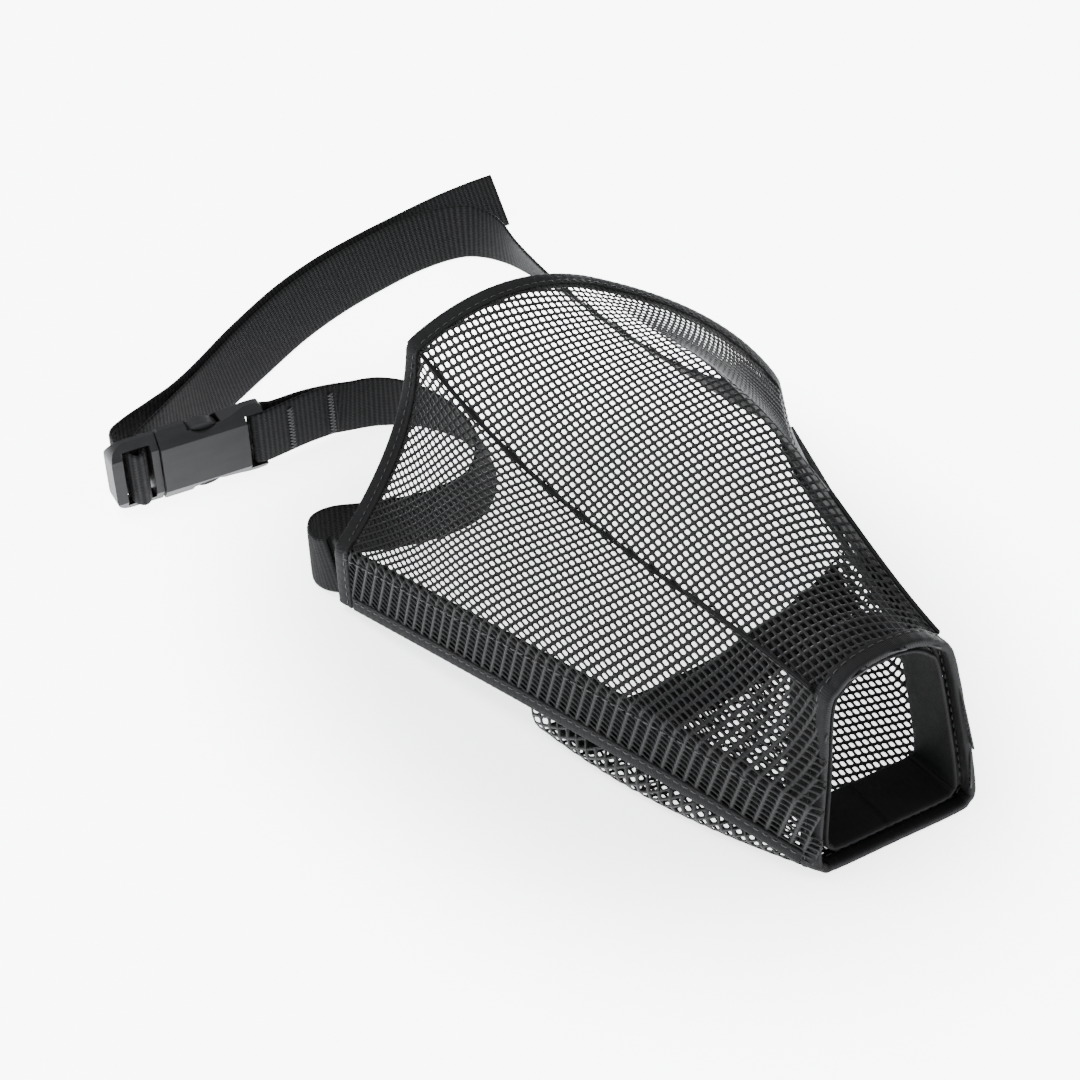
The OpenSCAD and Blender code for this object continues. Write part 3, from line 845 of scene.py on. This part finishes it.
def make_ridge_crease():
    """The pressed fold along the left ridge, from the nose to the rear rim."""
    path = np.array([top_at(v, -1) for v in np.linspace(0.03, 0.965, 260)]) + vec(0, 0, 0.5)
    wide = np.tile(vec(0.25, 0, 1.0), (len(path), 1))
    points, faces, cloth = swept(path, wide, fold_section(1.0, 1.5))
    piece("left_ridge_crease", points, faces, "binding_tape", cloth=cloth)


def make_bar_tacks():
    """Two dense bars of stitches that hold the left strap's doubled end."""
    rows = []
    for x in (-47, -62):
        for k, z in enumerate(np.arange(5.0, 21.0, 0.62)):
            lean = 0.35 if k % 2 else -0.35
            a, b = vec(x - 0.2, 254.55, z - lean), vec(x + 2.0, 254.55, z + lean)
            rows.append(stitch(a, b, vec(0, -1, 0), 0.26))
    points, faces, _ = joined(rows)
    piece("strap_end_bar_tacks", points, faces, "thread", ("bar_tacks",))


# ---------------------------------------------------------------- buckle
def buckle_matrix():
    return (Matrix.Translation(Vector(BUCKLE_POS) * MM) @ Matrix.Rotation(BUCKLE_TURN, 4, "Z")
            @ Matrix.Rotation(math.pi / 2, 4, "X"))


def solid(name, points, faces):
    """A closed mesh with flat faces, from points in millimetres."""
    bm = bmesh.new()
    corners = [bm.verts.new((u * MM, v * MM, w * MM)) for u, v, w in points]
    for face in faces:
        bm.faces.new([corners[i] for i in face])
    bmesh.ops.recalc_face_normals(bm, faces=bm.faces)
    mesh = bpy.data.meshes.new(name)
    bm.to_mesh(mesh)
    bm.free()
    obj = bpy.data.objects.new(name, mesh)
    bpy.context.scene.collection.objects.link(obj)
    return obj


def prism(name, outline, low, high):
    """A prism over an outline of (u, v) from w = low to w = high, in the buckle's own frame."""
    n = len(outline)
    points = [(u, v, w) for w in (low, high) for u, v in outline]
    faces = [tuple(range(n))[::-1], tuple(range(n, 2 * n))]
    faces += [(i, (i + 1) % n, (i + 1) % n + n, i + n) for i in range(n)]
    return solid(name, points, faces)


def box(name, u0, u1, v0, v1, w0, w1):
    return prism(name, [(u0, v0), (u1, v0), (u1, v1), (u0, v1)], w0, w1)


def apply_modifiers(obj):
    graph = bpy.context.evaluated_depsgraph_get()
    mesh = bpy.data.meshes.new_from_object(obj.evaluated_get(graph))
    obj.modifiers.clear()
    obj.data = mesh


def combine(obj, tools, operation):
    for tool in tools:
        m = obj.modifiers.new("cut", "BOOLEAN")
        m.operation, m.object, m.solver = operation, tool, "EXACT"
        apply_modifiers(obj)
        bpy.data.objects.remove(tool)


def rounded(obj, width, segments=3):
    m = obj.modifiers.new("edges", "BEVEL")
    m.width, m.segments, m.limit_method = width * MM, segments, "ANGLE"
    m.angle_limit, m.harden_normals = math.radians(28), False
    apply_modifiers(obj)
    obj.data.shade_smooth()
    smooth = obj.modifiers.new("facets", "WEIGHTED_NORMAL")
    smooth.keep_sharp = False
    apply_modifiers(obj)


def moulded(obj, name, body, replaced):
    obj.name = name
    obj.data.transform(buckle_matrix())
    obj.data.materials.clear()
    obj.data.materials.append(MATERIALS["buckle_plastic"])
    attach(obj, body)
    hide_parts(*replaced)
    return obj


def mirrored(half):
    """An outline from its upper half, from small u to large u."""
    return [(u, v) for u, v in half] + [(u, -v) for u, v in reversed(half)]


def ellipse(u, v, a, b, n=40):
    return [(u + a * math.cos(2 * math.pi * k / n), v + b * math.sin(2 * math.pi * k / n))
            for k in range(n)]


def bar_stock(name, u0, u1, half_v, half_w):
    """A bar along u with flat faces, sloping away to thin top and bottom edges."""
    corner = [(-half_w, -FACE_V), (-RIM_W, -half_v), (RIM_W, -half_v), (half_w, -FACE_V)]
    ring = [(v, w) for w, v in corner] + [(-v, -w) for w, v in corner]
    points = [(u, v, w) for u in (u0, u1) for v, w in ring]
    n = len(ring)
    faces = [tuple(range(n)), tuple(range(n, 2 * n))[::-1]]
    faces += [(i, i + n, (i + 1) % n + n, (i + 1) % n) for i in range(n)]
    return solid(name, points, faces)


def make_socket():
    top = SOCKET_H / 2
    half = spline([(1, 12.9), (3.5, 13.2), (6.5, 13), (10, 12), (15, 11.2), (20, 11.3),
                   (24, 12.8), (27, top), (31, top), (SOCKET_LEN - 0.8, top)], 4)
    outline = [(0, 12)] + half.tolist() + [(SOCKET_LEN, top - 0.8)]
    body = bar_stock("socket", 0, SOCKET_LEN, top + 0.1, SOCKET_T / 2)
    middle = sum(WINDOW_U) / 2
    combine(body, [prism("outline", mirrored(outline), -SOCKET_T, SOCKET_T)], "INTERSECT")
    cuts = [box("cavity", CAVITY_U, SOCKET_LEN + 3, -CAVITY_V, CAVITY_V, -CAVITY_W, CAVITY_W),
            box("windows", WINDOW_U[0], WINDOW_U[1], -SOCKET_H, SOCKET_H, -CAVITY_W, CAVITY_W),
            box("slot", BAR_U, BAR_U + 3.8, -SLOT_V, SLOT_V, -SOCKET_T, SOCKET_T),
            box("front_seat", -1, BAR_U + 1, -SLOT_V, SLOT_V, BAR_W, SOCKET_T),
            box("back_seat", -1, BAR_U + 1, -SLOT_V, SLOT_V, -SOCKET_T, -BAR_W)]
    for side in (-1, 1):
        cuts.append(prism("arc", ellipse(middle, side * 14.2, 6.2, 4.6), -SOCKET_T, SOCKET_T))
    combine(body, cuts, "DIFFERENCE")
    rounded(body, 0.5)
    return moulded(body, "buckle_socket_shell", "muzzle", ("buckle_socket",))


def make_plug():
    end, top = FRAME_U + PLUG_LEN, SOCKET_H / 2 - 0.5
    corner = [(end - 6 + 6 * math.sin(t), top - 6 + 6 * math.cos(t))
              for t in np.linspace(0, math.pi / 2, 8)]
    outline = [(FRAME_U, top)] + corner
    body = bar_stock("plug", FRAME_U, end, top, PLUG_T / 2)
    combine(body, [prism("outline", mirrored(outline), -PLUG_T, PLUG_T)], "INTERSECT")
    a, b, c, d = (FRAME_U + x for x in LADDER)
    cuts = [box("slot_in", a, b, -SLOT_V, SLOT_V, -PLUG_T, PLUG_T),
            box("slot_out", c, d, -SLOT_V, SLOT_V, -PLUG_T, PLUG_T),
            box("bar_front", b - 0.1, c + 0.1, -SLOT_V, SLOT_V, 1.4, PLUG_T),
            box("bar_back", b - 0.1, c + 0.1, -SLOT_V, SLOT_V, -PLUG_T, -1.4)]
    combine(body, cuts, "DIFFERENCE")
    guide = box("guide", PRONG_TIP, FRAME_U + 0.3, -2.4, 2.4, -2.1, 2.1)
    combine(body, [guide], "UNION")
    rounded(body, 0.5)
    return moulded(body, "buckle_plug_frame", "plug", ("buckle_plug",))


def make_prong(side, name):
    pad = spline([(SOCKET_LEN, 8.8), (27, 9.4), (25.8, 9.6), (25.0, 11.4), (22.5, 12.3),
                  (19, 12.0), (16.4, 10.8), (PRONG_TIP, 9.0)], 3).tolist()
    outline = [(SOCKET_LEN, 6.6)] + pad + [(PRONG_TIP, 7.4), (17, 7), (26, 7)]
    body = prism(name, [(u, side * v) for u, v in outline], -2.3, 2.3)
    rounded(body, 0.5)
    return moulded(body, name + "_arm", name, (name,))


# ---------------------------------------------------------------- floor, light and camera
def make_stage():
    bpy.ops.mesh.primitive_plane_add(size=6, location=(0, 0.15, -0.0004))
    floor = bpy.context.object
    floor.name = "floor"
    # The floor glows: painted light that makes it white and lights the muzzle from below, though
    # it is no lamp.
    p = Paint("floor", (0.94, 0.95, 0.97), 0.9, Specular_IOR_Level=0.1,
              Emission_Color=(0.97, 0.985, 1, 1))
    place = p.node("TexCoord").outputs["Object"]
    # Painted shadow: the floor's glow is dimmed in a soft ellipse round the muzzle, in place of a
    # cast shadow.
    shade = p.node("Mapping", {"Vector": place}, {"Scale": (7.0, 5.0, 1.0),
                                                 "Location": (0.12, 0.15, 0)})
    near = p.node("TexGradient", {"Vector": shade.outputs["Vector"]}, gradient_type="SPHERICAL")
    glow_with_painted_shadow = p.node("MapRange", {"Value": near.outputs["Fac"]},
                  {"From Min": 0.0, "From Max": 0.55, "To Min": 7.0, "To Max": 2.6},
                  interpolation_type="SMOOTHSTEP")
    p.tree.links.new(glow_with_painted_shadow.outputs["Result"], p.shader.inputs["Emission Strength"])
    floor.data.materials.append(p.material)
    world = bpy.data.worlds.new("studio")
    bpy.context.scene.world = world
    world.use_nodes = True
    background = world.node_tree.nodes["Background"]
    background.inputs["Color"].default_value = (0.93, 0.965, 1.0, 1)
    background.inputs["Strength"].default_value = 1.1


def lamp(name, place, aim, size, power, colour=(1, 1, 1)):
    data = bpy.data.lights.new(name, "AREA")
    data.shape, data.size, data.energy, data.color = "DISK", size, power, colour
    obj = bpy.data.objects.new(name, data)
    bpy.context.scene.collection.objects.link(obj)
    obj.location = place
    obj.rotation_euler = (Vector(aim) - Vector(place)).to_track_quat("-Z", "Y").to_euler()


def make_lights():
    lamp("key", (-0.5, 0.5, 1.5), (0, 0.15, 0), 1.0, 30)
    lamp("fill", (1.2, -0.6, 1.2), (0, 0.15, 0), 1.2, 10)


def make_camera():
    """The view's azimuth, elevation and roll, with its place and focal length."""
    data = bpy.data.cameras.new("camera")
    data.lens, data.sensor_width = 91.49, 36
    cam = bpy.data.objects.new("camera", data)
    bpy.context.scene.collection.objects.link(cam)
    a, e, roll = (math.radians(x) for x in (-28.571, 38.291, -2.748))
    forward = Vector((-math.sin(a) * math.cos(e), math.cos(a) * math.cos(e), -math.sin(e)))
    right = Vector((math.cos(a), math.sin(a), 0))
    up = right.cross(forward)
    turned = right * math.cos(roll) + up * math.sin(roll)
    up = up * math.cos(roll) - right * math.sin(roll)
    basis = Matrix((turned, up, -forward)).transposed().to_4x4()
    cam.matrix_world = Matrix.Translation((-0.3443, -0.4336, 0.5445)) @ basis
    bpy.context.scene.camera = cam


make_stage()
make_lights()
make_camera()
make_nets()
make_bindings()
make_facing()
make_chin_webbing()
make_straps()
make_stitching()
make_darts()
make_ridge_crease()
make_bar_tacks()
make_socket()
make_plug()
make_prong(1, "upper_prong")
make_prong(-1, "lower_prong")
